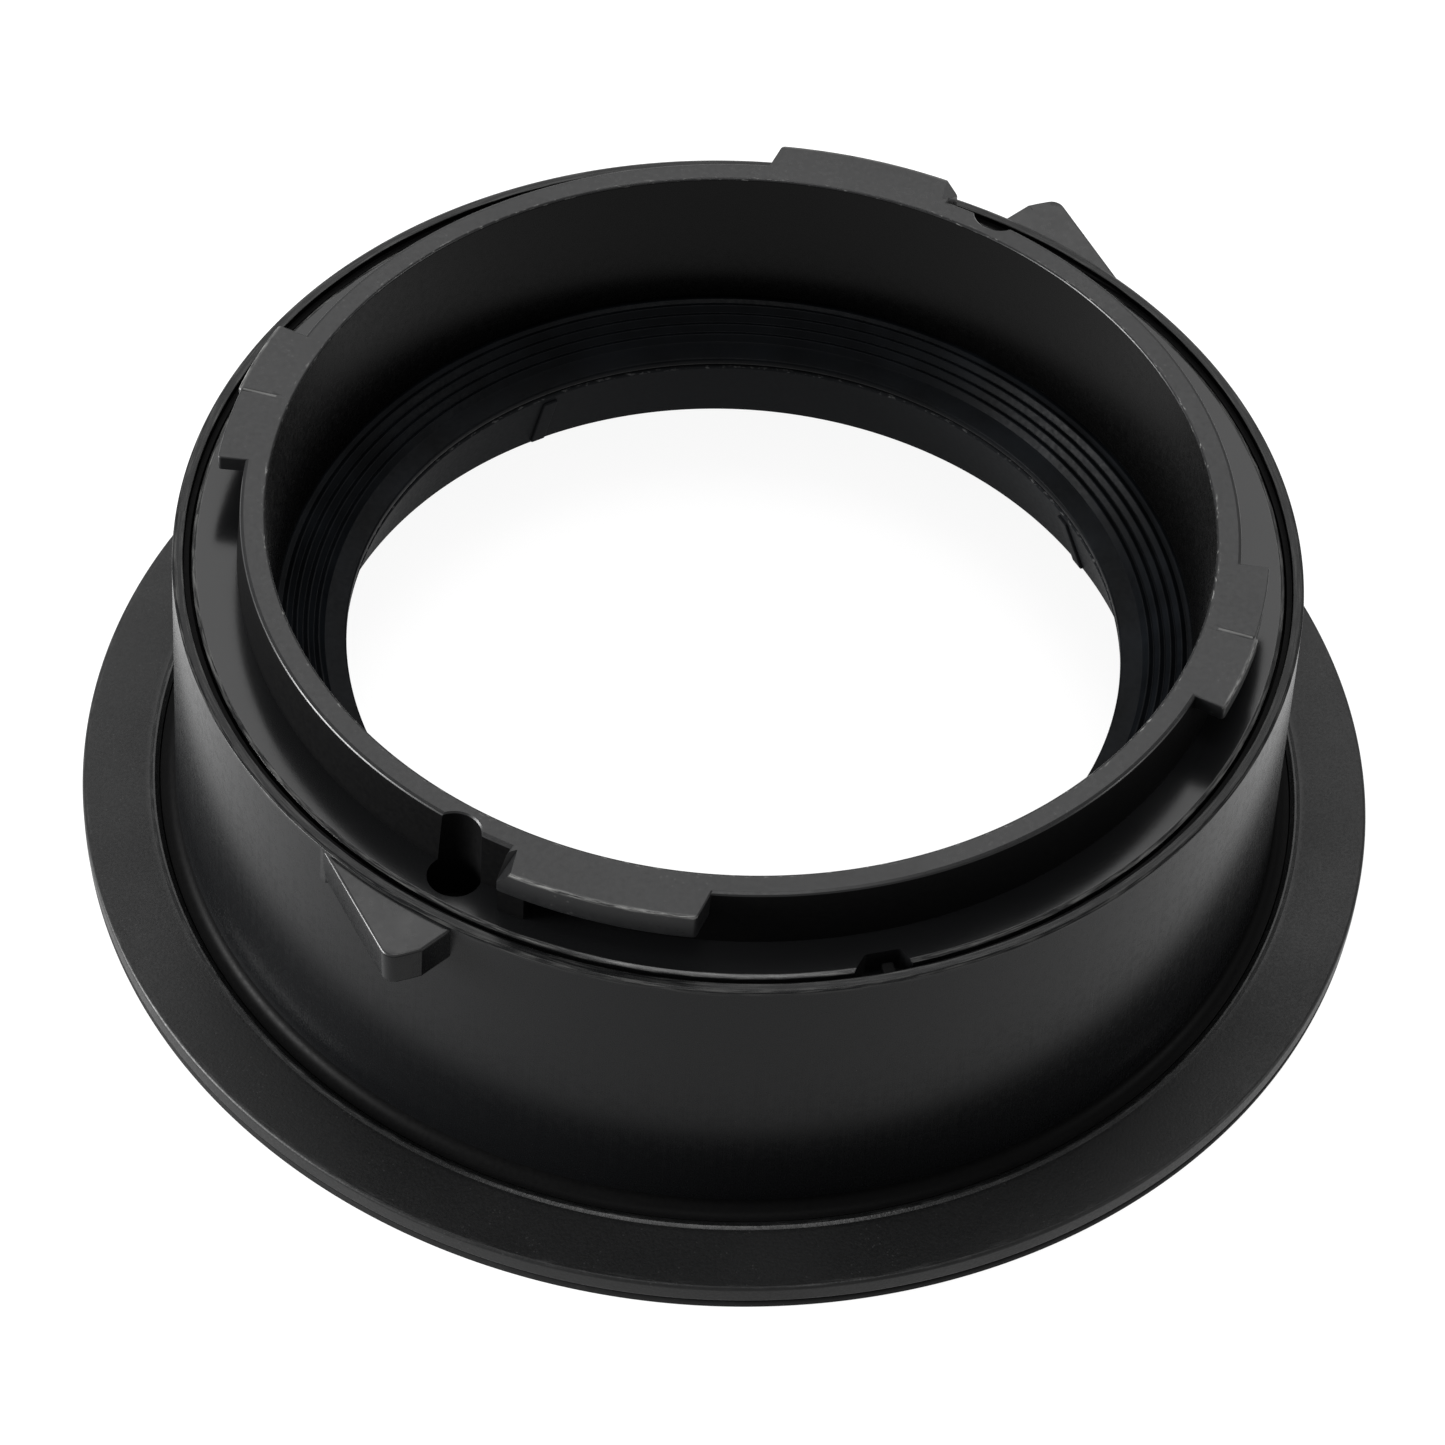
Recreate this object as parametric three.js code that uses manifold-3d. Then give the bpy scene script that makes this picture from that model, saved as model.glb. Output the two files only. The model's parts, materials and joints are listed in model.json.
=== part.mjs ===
// Bayonet toilet flange: a swivelling hub with a twist-lock collar, a ribbed throat seal and
// the ring that clamps it. Millimetres, +Z up. The origin is on the bore's axis, at the
// underside of the base gasket.

import * as THREE from 'three';
import { ConvexGeometry } from 'three/addons/geometries/ConvexGeometry.js';
import { mergeVertices } from 'three/addons/utils/BufferGeometryUtils.js';
import Module from 'manifold-3d';

const wasm = await Module();
wasm.setup();

// ---- driving dimensions -------------------------------------------------------------------

const FLANGE_RADIUS = 89.2;
const FLANGE_TOP = 4.5;
const GASKET_THICKNESS = 1.2;
const RIM_TOP = 47.8;
const RIM_RADIUS = 75.05;
const WALL_FOOT_RADIUS = 76.4;
const SHELF_TOP = 47.5;
const SHELF_RADIUS = 72.5;
const COLLAR_TOP = 55.6;
const COLLAR_RADIUS = 65.9;
const THROAT_RADIUS = 62.6;
const LUG_RADIUS = 70.0;
const LIP_RADIUS = 52.4;
const LIP_HEIGHT = 29.8;

const GAP = 0.3;
const RUNNING_GAP = 0.4;
const SEGMENTS = 64;
const OVERLAP = 0.6;

// Angles are in degrees about +Z, from +X.
const LOCK_LUG_CENTRES = [-102.1, 77.9];
const LOCK_LUG_HALF_SPAN = 10;
const LOCK_LUG_THICKNESS = 4.0;
const WEB_SPAN = 1.2;
const SIDE_LUG_CENTRES = [-15.1, 166.9];
const SIDE_LUG_HALF_SPAN = 10.7;
const SIDE_LUG_THICKNESS = 2.4;
const KEYHOLE_ANGLES = [-119.45, 60.55];
const KEYHOLE_RADIUS = 3.45;
const KEYHOLE_OFFSET = 67.6;
const KEYHOLE_DEPTH = 8;
const FIN_ANGLES = [-119.3, 59.3];
const INDEX_ANGLE = -72.7;
const RETAINER_TAB_ANGLES = [-103, -13, 77, 167];
const GRIP_RIB_ANGLES = [-148, -58, 32, 122];

// ---- helpers ------------------------------------------------------------------------------

const radians = (degrees) => degrees * Math.PI / 180;

const polar = (radius, degrees) => new THREE.Vector2(
  radius * Math.cos(radians(degrees)),
  radius * Math.sin(radians(degrees)),
);

// Points [r, z] along an arc from one angle to another, both ends included.
function arc(centreR, centreZ, radius, fromDegrees, toDegrees, steps) {
  const points = [];
  for (let i = 0; i <= steps; i += 1) {
    const angle = radians(fromDegrees + (toDegrees - fromDegrees) * i / steps);
    points.push([centreR + radius * Math.cos(angle), centreZ + radius * Math.sin(angle)]);
  }
  return points;
}

function toSolid(geometry) {
  const bare = geometry.clone();
  bare.deleteAttribute('normal');
  bare.deleteAttribute('uv');
  const merged = mergeVertices(bare, 1e-5);
  const mesh = new wasm.Mesh({
    numProp: 3,
    vertProperties: new Float32Array(merged.attributes.position.array),
    triVerts: new Uint32Array(merged.index.array),
  });
  return new wasm.Manifold(mesh);
}

function toGeometry(solid) {
  const mesh = solid.getMesh();
  const geometry = new THREE.BufferGeometry();
  geometry.setAttribute('position', new THREE.BufferAttribute(mesh.vertProperties, 3));
  geometry.setIndex(new THREE.BufferAttribute(mesh.triVerts, 1));
  geometry.computeVertexNormals();
  return geometry;
}

// A full ring from a closed section of [r, z] points, listed with the solid on the left.
function revolve(section, segments = SEGMENTS) {
  const points = [...section, section[0]].map(([r, z]) => new THREE.Vector2(r, z));
  return new THREE.LatheGeometry(points, segments).rotateX(Math.PI / 2);
}

// A prism over a flat outline in the XY plane, from one height to another.
function prism(shape, bottom, top, curveSegments = 6) {
  const settings = { depth: top - bottom, bevelEnabled: false, curveSegments };
  return new THREE.ExtrudeGeometry(shape, settings).translate(0, 0, bottom);
}

// A block bounded by two radii, two angles and two heights.
function sector(inner, outer, from, to, bottom, top) {
  const shape = new THREE.Shape();
  shape.absarc(0, 0, outer, radians(from), radians(to), false);
  shape.absarc(0, 0, inner, radians(to), radians(from), true);
  return toSolid(prism(shape, bottom, top, Math.max(1, Math.round((to - from) / 4))));
}

function post(radius, centre, bottom, top) {
  const shape = new THREE.Shape();
  shape.absarc(centre.x, centre.y, radius, 0, 2 * Math.PI, false);
  return toSolid(prism(shape, bottom, top, 20));
}

// ---- flange ring and gasket ---------------------------------------------------------------

const RING_BOTTOM = GASKET_THICKNESS + GAP;
const REBATE_RADIUS = 83.4;
const REBATE_TOP = 3.0;
const RING_BORE = 78.8;
const GASKET_BORE = 75.0;

function flangeRing() {
  const topEdge = 0.7;
  const footChamfer = 0.4;
  const boreChamfer = 0.8;
  const chamferDrop = 0.6;
  return revolve([
    [REBATE_RADIUS, RING_BOTTOM],
    [FLANGE_RADIUS - footChamfer, RING_BOTTOM],
    [FLANGE_RADIUS, RING_BOTTOM + footChamfer],
    ...arc(FLANGE_RADIUS - topEdge, FLANGE_TOP - topEdge, topEdge, 0, 90, 3),
    [RING_BORE + boreChamfer, FLANGE_TOP],
    [RING_BORE, FLANGE_TOP - chamferDrop],
    [RING_BORE, REBATE_TOP],
    [REBATE_RADIUS, REBATE_TOP],
  ]);
}

function baseGasket() {
  return revolve([
    [GASKET_BORE, 0],
    [FLANGE_RADIUS - 0.1, 0],
    [FLANGE_RADIUS - 0.1, GASKET_THICKNESS],
    [GASKET_BORE, GASKET_THICKNESS],
  ]);
}

// ---- hub ----------------------------------------------------------------------------------

const FOOT_RADIUS = RING_BORE - RUNNING_GAP;
const SEAT_RADIUS = 73.6;
const SEAT_LEDGE = SHELF_TOP - 2.9;
const PILOT_BORE = 71.4;
const PILOT_BOTTOM = 32.0;
const HUB_BORE = 72.8;
const HUB_FOOT_BORE = 74.2;
const FOOT_TOP = FLANGE_TOP - 0.4;
const GROOVE_FLOOR = RIM_TOP - 0.9;
const FIN_DROP = 0.6;
const FIN_HEIGHT = 5.4;

// A triangular fin below the rim, rising along the wall to a rounded crest with a blunt end.
function wedgeFin(crestAngle) {
  const crestRadius = 82.5;
  const rampSpan = 14.6;
  const bluntSpan = 3.5;
  const top = RIM_TOP - FIN_DROP;
  const tip = polar(RIM_RADIUS - OVERLAP, crestAngle - rampSpan);
  const beforeCrest = polar(crestRadius - 1.5, crestAngle - 1.3);
  const crest = polar(crestRadius, crestAngle + 0.2);
  const afterCrest = polar(crestRadius - 1.9, crestAngle + 1.0);
  const heel = polar(RIM_RADIUS - OVERLAP, crestAngle + bluntSpan);
  const shape = new THREE.Shape();
  shape.moveTo(tip.x, tip.y);
  shape.lineTo(beforeCrest.x, beforeCrest.y);
  shape.quadraticCurveTo(crest.x, crest.y, afterCrest.x, afterCrest.y);
  shape.lineTo(heel.x, heel.y);
  return toSolid(prism(shape, top - FIN_HEIGHT, top));
}

function hub() {
  const fillet = 0.8;
  const rimEdge = 0.3;
  const pilotLead = 2.4;
  const wall = revolve([
    [HUB_FOOT_BORE, RING_BOTTOM],
    [REBATE_RADIUS - RUNNING_GAP, RING_BOTTOM],
    [REBATE_RADIUS - RUNNING_GAP, REBATE_TOP - GAP],
    [FOOT_RADIUS, REBATE_TOP - GAP],
    [FOOT_RADIUS, FOOT_TOP],
    ...arc(WALL_FOOT_RADIUS + fillet, FOOT_TOP + fillet, fillet, 270, 180, 3),
    [RIM_RADIUS, RIM_TOP - rimEdge],
    [RIM_RADIUS - rimEdge, RIM_TOP],
    [SEAT_RADIUS, RIM_TOP],
    [SEAT_RADIUS, GROOVE_FLOOR],
    [SHELF_RADIUS + GAP, GROOVE_FLOOR],
    [SHELF_RADIUS + GAP, SEAT_LEDGE],
    [PILOT_BORE, SEAT_LEDGE],
    [PILOT_BORE, PILOT_BOTTOM],
    [HUB_BORE, PILOT_BOTTOM - pilotLead],
  ]);
  const keyHalfSpan = 0.6;
  const keyReach = 0.9;
  const keyDrop = 0.5;
  let solid = toSolid(wall).add(sector(
    SHELF_RADIUS - keyReach, SEAT_RADIUS + OVERLAP,
    INDEX_ANGLE - keyHalfSpan, INDEX_ANGLE + keyHalfSpan,
    SEAT_LEDGE - OVERLAP, RIM_TOP - keyDrop,
  ));
  for (const angle of FIN_ANGLES) {
    solid = solid.add(wedgeFin(angle));
  }
  return toGeometry(solid);
}

// ---- bayonet collar -----------------------------------------------------------------------

const PILOT_RADIUS = PILOT_BORE - RUNNING_GAP;
const PILOT_FOOT = PILOT_BOTTOM + 1.8;
const RING_GROOVE_BOTTOM = PILOT_FOOT + 1.5;
const RING_GROOVE_TOP = RING_GROOVE_BOTTOM + 2.8;
const RING_GROOVE_RADIUS = 68.6;
const LUG_ROOT = COLLAR_RADIUS - 1.2;
const NOTCH_BOTTOM_RADIUS = 70.0;
const SOCKET_RADIUS = 64.6;
const SOCKET_OUTER = 67.0;
const SOCKET_FOOT = 12.0;
const SOCKET_SHOULDER = 33.4;
const TAB_BOTTOM = 16.2;
const TAB_TOP = 19.2;
const TAB_HALF_SPAN = 2.5;
const UNLOCK_TURN = 18;

function collarBody() {
  const shelfEdge = 0.4;
  const wallDraft = 0.6;
  const wallFillet = 0.2;
  const topEdge = 0.3;
  const throatDraft = 0.8;
  return toSolid(revolve([
    [SOCKET_RADIUS, SOCKET_FOOT],
    [SOCKET_OUTER, SOCKET_FOOT],
    [SOCKET_OUTER, PILOT_FOOT],
    [PILOT_RADIUS, PILOT_FOOT],
    [PILOT_RADIUS, RING_GROOVE_BOTTOM],
    [RING_GROOVE_RADIUS, RING_GROOVE_BOTTOM],
    [RING_GROOVE_RADIUS, RING_GROOVE_TOP],
    [PILOT_RADIUS, RING_GROOVE_TOP],
    [PILOT_RADIUS, SEAT_LEDGE + GAP],
    [SHELF_RADIUS, SEAT_LEDGE + GAP],
    ...arc(SHELF_RADIUS - shelfEdge, SHELF_TOP - shelfEdge, shelfEdge, 0, 90, 3),
    [COLLAR_RADIUS + wallDraft + wallFillet, SHELF_TOP],
    [COLLAR_RADIUS + wallDraft, SHELF_TOP + wallFillet],
    [COLLAR_RADIUS, COLLAR_TOP - topEdge],
    [COLLAR_RADIUS - topEdge, COLLAR_TOP],
    [THROAT_RADIUS + topEdge, COLLAR_TOP],
    [THROAT_RADIUS, COLLAR_TOP - topEdge],
    [THROAT_RADIUS - throatDraft, SOCKET_SHOULDER],
    [SOCKET_RADIUS, SOCKET_SHOULDER],
  ]));
}

// One hook of the bayonet: a thick arc that overhangs the shelf, level with the collar's top,
// with its two outer corners rounded. endSlant, in degrees, spreads its end towards the root.
function lug(centre, halfSpan, thickness, endSlant = 0) {
  const corner = 0.6;
  const cornerSpan = THREE.MathUtils.radToDeg(corner / LUG_RADIUS);
  const from = centre - halfSpan;
  const to = centre + halfSpan;
  const cornerSlant = (endSlant * corner) / (LUG_RADIUS - LUG_ROOT);
  const start = polar(LUG_ROOT, from);
  const startCorner = polar(LUG_RADIUS - corner, from);
  const startControl = polar(LUG_RADIUS, from);
  const arcStart = polar(LUG_RADIUS, from + cornerSpan);
  const endControl = polar(LUG_RADIUS, to);
  const endCorner = polar(LUG_RADIUS - corner, to + cornerSlant);
  const shape = new THREE.Shape();
  shape.moveTo(start.x, start.y);
  shape.lineTo(startCorner.x, startCorner.y);
  shape.quadraticCurveTo(startControl.x, startControl.y, arcStart.x, arcStart.y);
  shape.absarc(0, 0, LUG_RADIUS, radians(from + cornerSpan), radians(to - cornerSpan), false);
  shape.quadraticCurveTo(endControl.x, endControl.y, endCorner.x, endCorner.y);
  shape.absarc(0, 0, LUG_ROOT, radians(to + endSlant), radians(from), true);
  return toSolid(prism(shape, COLLAR_TOP - thickness, COLLAR_TOP, 5));
}

// A lock lug's plate, which also covers the web at its closed end.
function lockLugPlate(centre) {
  const slant = 1.7;
  const reach = WEB_SPAN / 2;
  return lug(centre - reach, LOCK_LUG_HALF_SPAN + reach, LOCK_LUG_THICKNESS, slant);
}

// The web under a lock lug's closed end, which stops the mating part. It stands a little
// behind the lug's face.
function lugWeb(centre) {
  const lugStart = centre - LOCK_LUG_HALF_SPAN;
  const underLug = 1.8;
  const setBack = 0.5;
  return sector(
    LUG_ROOT, LUG_RADIUS - setBack, lugStart - WEB_SPAN, lugStart + underLug,
    SHELF_TOP - OVERLAP, COLLAR_TOP - LOCK_LUG_THICKNESS + OVERLAP,
  );
}

// A wedge that takes off the outer top corner of a lock lug's closed end. The cut starts at
// nothing on the collar's wall and grows outwards to its full width and drop at the lug's rim.
function webCornerCut(centre) {
  const heelOffset = 0.9;
  const cutWidth = 2.0;
  const cutDrop = 2.5;
  const clearance = 3.0;
  const heel = new THREE.Vector3(COLLAR_RADIUS - 0.05, heelOffset, 0);
  const pastRim = (corner) => corner.sub(heel).multiplyScalar(2).add(heel);
  const top = pastRim(new THREE.Vector3(LUG_RADIUS, cutWidth, 0));
  const side = pastRim(new THREE.Vector3(LUG_RADIUS, 0, -cutDrop));
  const wedge = new ConvexGeometry([
    heel,
    top,
    side,
    new THREE.Vector3(heel.x, -clearance, clearance),
    new THREE.Vector3(top.x, -clearance, clearance),
  ]);
  return toSolid(wedge)
    .rotate([0, 0, centre - LOCK_LUG_HALF_SPAN - WEB_SPAN])
    .translate([0, 0, COLLAR_TOP]);
}

// A notch in the shelf's edge, wider at its mouth, round the hub's key.
function indexNotch() {
  const corners = [
    polar(SHELF_RADIUS + 1, INDEX_ANGLE - 3.6),
    polar(SHELF_RADIUS + 1, INDEX_ANGLE + 2.5),
    polar(NOTCH_BOTTOM_RADIUS, INDEX_ANGLE + 1.8),
    polar(NOTCH_BOTTOM_RADIUS, INDEX_ANGLE - 2.0),
  ];
  return toSolid(prism(new THREE.Shape(corners), SEAT_LEDGE - 1, SHELF_TOP + 1));
}

// An L-shaped window in the socket wall: the entry from below and the run the tab turns along.
function tabWindow(tabAngle) {
  const play = 0.5;
  const entry = tabAngle - UNLOCK_TURN;
  const reach = TAB_HALF_SPAN + play;
  const run = sector(
    SOCKET_RADIUS - 1, SOCKET_OUTER + 1, entry - reach, tabAngle + reach,
    TAB_BOTTOM - RUNNING_GAP, TAB_TOP + RUNNING_GAP,
  );
  return run.add(sector(
    SOCKET_RADIUS - 1, SOCKET_OUTER + 1, entry - reach, entry + reach,
    SOCKET_FOOT - 1, TAB_TOP,
  ));
}

function bayonetCollar() {
  let solid = collarBody();
  for (const centre of LOCK_LUG_CENTRES) {
    solid = solid.add(lockLugPlate(centre)).add(lugWeb(centre)).subtract(webCornerCut(centre));
  }
  for (const centre of SIDE_LUG_CENTRES) {
    solid = solid.add(lug(centre, SIDE_LUG_HALF_SPAN, SIDE_LUG_THICKNESS));
  }
  for (const angle of KEYHOLE_ANGLES) {
    solid = solid.subtract(post(
      KEYHOLE_RADIUS, polar(KEYHOLE_OFFSET, angle), SHELF_TOP - KEYHOLE_DEPTH, COLLAR_TOP + 1,
    ));
  }
  solid = solid.subtract(indexNotch());
  for (const angle of RETAINER_TAB_ANGLES) {
    solid = solid.subtract(tabWindow(angle));
  }
  return toGeometry(solid);
}

function collarORing() {
  const section = 1.1;
  const centreR = RING_GROOVE_RADIUS + GAP + section;
  const centreZ = (RING_GROOVE_BOTTOM + RING_GROOVE_TOP) / 2;
  return revolve(arc(centreR, centreZ, section, 0, 315, 7));
}

// ---- throat seal --------------------------------------------------------------------------

// A rubber ring whose sloping face carries four ridges and ends in a smooth lip.
function throatSeal() {
  const ridgeCount = 4;
  const ridgePitch = 1.45;
  const ridgeHeight = 0.75;
  const ridgeHalfCrest = 0.2;
  const outerRidge = 60.4;
  const slope = 0.33;
  const lipThickness = 0.8;
  const backTop = 30.2;
  const backStart = 55.4;
  const backEnd = 61.6;
  const faceHeight = (r) => LIP_HEIGHT + 0.05 + (r - LIP_RADIUS) * slope;
  const ridges = [];
  for (let i = 0; i < ridgeCount; i += 1) {
    const crest = outerRidge - i * ridgePitch;
    ridges.push([crest + ridgeHalfCrest, faceHeight(crest) + ridgeHeight]);
    ridges.push([crest - ridgeHalfCrest, faceHeight(crest) + ridgeHeight]);
    ridges.push([crest - ridgePitch / 2, faceHeight(crest - ridgePitch / 2)]);
  }
  const seatRadius = SOCKET_RADIUS - GAP;
  return revolve([
    [LIP_RADIUS + 0.4, LIP_HEIGHT - lipThickness],
    [backStart, LIP_HEIGHT - lipThickness],
    [backEnd, backTop],
    [seatRadius, backTop],
    [seatRadius, SOCKET_SHOULDER - GAP],
    [THROAT_RADIUS - 0.9, SOCKET_SHOULDER - GAP],
    [outerRidge + ridgePitch / 2, faceHeight(outerRidge + ridgePitch / 2)],
    ...ridges,
    [LIP_RADIUS + 2.3, LIP_HEIGHT + 0.9],
    [LIP_RADIUS + 0.5, LIP_HEIGHT + 0.5],
    [LIP_RADIUS, LIP_HEIGHT - 0.2],
  ]);
}

// ---- retaining ring -----------------------------------------------------------------------

const RETAINER_RADIUS = SOCKET_RADIUS - RUNNING_GAP;
const RETAINER_TOP = 29.9;
const CONE_TOP = LIP_HEIGHT - 1.2;
const CONE_FOOT = 15.4;
const CONE_FOOT_RADIUS = 57.0;
const RETAINER_FOOT = SOCKET_FOOT + 1.5;

// A solid ring with a conical bore, whose top follows the underside of the seal.
function retainingRing() {
  const topEdge = 0.4;
  const slopeStart = 55.6;
  const slopeEnd = 61.8;
  let solid = toSolid(revolve([
    [CONE_FOOT_RADIUS, CONE_FOOT],
    [RETAINER_RADIUS - topEdge, RETAINER_FOOT],
    [RETAINER_RADIUS, RETAINER_FOOT + topEdge],
    [RETAINER_RADIUS, RETAINER_TOP],
    [slopeEnd, RETAINER_TOP],
    [slopeStart, CONE_TOP],
    [LIP_RADIUS + topEdge, CONE_TOP],
    [LIP_RADIUS, CONE_TOP - topEdge],
  ]));
  for (const angle of RETAINER_TAB_ANGLES) {
    solid = solid.add(sector(
      RETAINER_RADIUS - 1, SOCKET_OUTER - GAP, angle - TAB_HALF_SPAN, angle + TAB_HALF_SPAN,
      TAB_BOTTOM, TAB_TOP,
    ));
  }
  for (const angle of GRIP_RIB_ANGLES) {
    solid = solid.add(gripRib(angle));
  }
  return toGeometry(solid);
}

// A shallow upright rib on the cone's inner face, following its slope.
function gripRib(angle) {
  const halfWidth = 1.1;
  const buried = 0.8;
  const proud = 0.7;
  const top = CONE_TOP - 1.6;
  const foot = CONE_FOOT + 0.6;
  const shape = new THREE.Shape([
    new THREE.Vector2(LIP_RADIUS + proud - OVERLAP, top),
    new THREE.Vector2(LIP_RADIUS + proud + buried, top),
    new THREE.Vector2(CONE_FOOT_RADIUS + buried, foot),
    new THREE.Vector2(CONE_FOOT_RADIUS - proud, foot),
  ]);
  const rib = new THREE.ExtrudeGeometry(shape, { depth: 2 * halfWidth, bevelEnabled: false });
  rib.translate(0, 0, -halfWidth).rotateX(Math.PI / 2).rotateZ(radians(angle));
  return toSolid(rib);
}

// ---- assembly -----------------------------------------------------------------------------

function piece(name, geometry, color, roughness) {
  const material = new THREE.MeshStandardMaterial({ color, roughness, metalness: 0 });
  const mesh = new THREE.Mesh(geometry, material);
  mesh.name = name;
  return mesh;
}

const flange = new THREE.Group();
flange.name = 'toilet_flange';
flange.add(
  piece('flange_ring', flangeRing(), 0x2b2c2d, 0.6),
  piece('base_gasket', baseGasket(), 0x161718, 0.9),
  piece('hub', hub(), 0x191a1b, 0.25),
  piece('bayonet_collar', bayonetCollar(), 0x242526, 0.35),
  piece('collar_o_ring', collarORing(), 0x101011, 0.8),
  piece('throat_seal', throatSeal(), 0x12151a, 0.55),
  piece('retaining_ring', retainingRing(), 0x2a2b2c, 0.45),
);

export default flange;
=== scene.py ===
"""Looks of the toilet flange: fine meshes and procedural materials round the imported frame.

Lengths are in millimetres until a mesh is made, and heights are above the gasket's underside.
"""

import json
import math

import bmesh
import bpy
from mathutils import Matrix, Vector

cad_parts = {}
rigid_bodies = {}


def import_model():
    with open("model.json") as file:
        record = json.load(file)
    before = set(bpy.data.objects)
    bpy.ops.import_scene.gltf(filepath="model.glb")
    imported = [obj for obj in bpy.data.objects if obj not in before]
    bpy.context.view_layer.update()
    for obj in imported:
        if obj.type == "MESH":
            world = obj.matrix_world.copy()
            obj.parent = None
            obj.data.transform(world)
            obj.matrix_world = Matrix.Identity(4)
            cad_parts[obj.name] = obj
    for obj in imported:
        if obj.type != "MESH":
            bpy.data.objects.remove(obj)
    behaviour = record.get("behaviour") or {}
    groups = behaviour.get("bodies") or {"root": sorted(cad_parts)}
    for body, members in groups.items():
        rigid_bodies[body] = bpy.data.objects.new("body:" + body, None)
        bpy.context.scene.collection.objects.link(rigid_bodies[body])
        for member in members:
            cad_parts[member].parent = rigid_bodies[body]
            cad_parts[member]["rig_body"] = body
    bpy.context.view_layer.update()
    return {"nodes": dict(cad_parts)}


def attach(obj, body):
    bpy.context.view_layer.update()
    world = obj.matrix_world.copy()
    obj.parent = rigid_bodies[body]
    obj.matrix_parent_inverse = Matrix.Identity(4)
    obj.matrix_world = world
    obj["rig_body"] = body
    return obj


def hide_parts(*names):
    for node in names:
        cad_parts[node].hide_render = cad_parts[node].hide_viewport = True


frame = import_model()

MM = 0.001
TURNED_SEGMENTS = 512
GAP = 0.3
RUNNING_GAP = 0.4

# ---- camera ---------------------------------------------------------------------------------

CAMERA_PLACE = Vector((-0.000873, -0.452651, 0.534003))
CAMERA_ELEVATION = math.radians(49.0846)
CAMERA_ROLL = math.radians(3.49195)
CAMERA_LENS = 124.567


def make_camera():
    data = bpy.data.cameras.new("camera")
    data.lens = CAMERA_LENS
    data.sensor_width = 36.0
    data.clip_start = 0.01
    data.clip_end = 20.0
    camera = bpy.data.objects.new("camera", data)
    bpy.context.scene.collection.objects.link(camera)
    back = Vector((0, -math.cos(CAMERA_ELEVATION), math.sin(CAMERA_ELEVATION)))
    up = Vector((0, math.sin(CAMERA_ELEVATION), math.cos(CAMERA_ELEVATION)))
    right = Vector((1, 0, 0))
    cos_roll = math.cos(CAMERA_ROLL)
    sin_roll = math.sin(CAMERA_ROLL)
    axis_x = right * cos_roll + up * sin_roll
    axis_y = up * cos_roll - right * sin_roll
    turn = Matrix((axis_x, axis_y, back)).transposed().to_4x4()
    camera.matrix_world = Matrix.Translation(CAMERA_PLACE) @ turn
    bpy.context.scene.camera = camera


# ---- flat outlines --------------------------------------------------------------------------


def polar(radius, degrees):
    angle = math.radians(degrees)
    return Vector((radius * math.cos(angle), radius * math.sin(angle)))


def rounded(corners, steps=4):
    """A closed outline of 2-D points from corners (x, y, radius), each rounded by its radius."""
    outline = []
    count = len(corners)
    for i, (x, y, radius) in enumerate(corners):
        corner = Vector((x, y))
        if radius <= 0:
            outline.append(corner)
            continue
        before = (Vector(corners[i - 1][:2]) - corner).normalized()
        after = (Vector(corners[(i + 1) % count][:2]) - corner).normalized()
        half = before.angle(after) / 2
        reach = radius / math.tan(half)
        centre = corner + (before + after).normalized() * (radius / math.sin(half))
        start = corner + before * reach - centre
        end = corner + after * reach - centre
        turn = math.atan2(start.x * end.y - start.y * end.x, start.dot(end))
        for step in range(steps + 1):
            part = Matrix.Rotation(turn * step / steps, 2) @ start
            outline.append(centre + part)
    return outline


def arc_points(radius, start, end):
    """Points at one radius from one angle to another, about a degree apart."""
    count = max(1, round(abs(end - start)))
    return [polar(radius, start + (end - start) * i / count) for i in range(count + 1)]


def sector_outline(inner, outer, start, end):
    return arc_points(outer, start, end) + arc_points(inner, end, start)


def curve(start, control, end):
    """A quadratic curve's points, both ends included."""
    steps = 5
    points = []
    for i in range(steps + 1):
        t = i / steps
        points.append(start * (1 - t) ** 2 + control * (2 * t * (1 - t)) + end * t ** 2)
    return points


# ---- meshes ---------------------------------------------------------------------------------


def new_object(name, bm):
    bmesh.ops.recalc_face_normals(bm, faces=bm.faces)
    mesh = bpy.data.meshes.new(name)
    bm.to_mesh(mesh)
    bm.free()
    obj = bpy.data.objects.new(name, mesh)
    bpy.context.scene.collection.objects.link(obj)
    return obj


def turned(name, section):
    """A ring: the closed section of (r, z) points turned about the bore's axis."""
    bm = bmesh.new()
    columns = []
    for i in range(TURNED_SEGMENTS):
        angle = 2 * math.pi * i / TURNED_SEGMENTS
        cos_a = math.cos(angle)
        sin_a = math.sin(angle)
        columns.append([bm.verts.new((r * cos_a * MM, r * sin_a * MM, z * MM)) for r, z in section])
    count = len(section)
    for i in range(TURNED_SEGMENTS):
        here = columns[i]
        there = columns[(i + 1) % TURNED_SEGMENTS]
        for j in range(count):
            k = (j + 1) % count
            bm.faces.new((here[j], there[j], there[k], here[k]))
    return new_object(name, bm)


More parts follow.
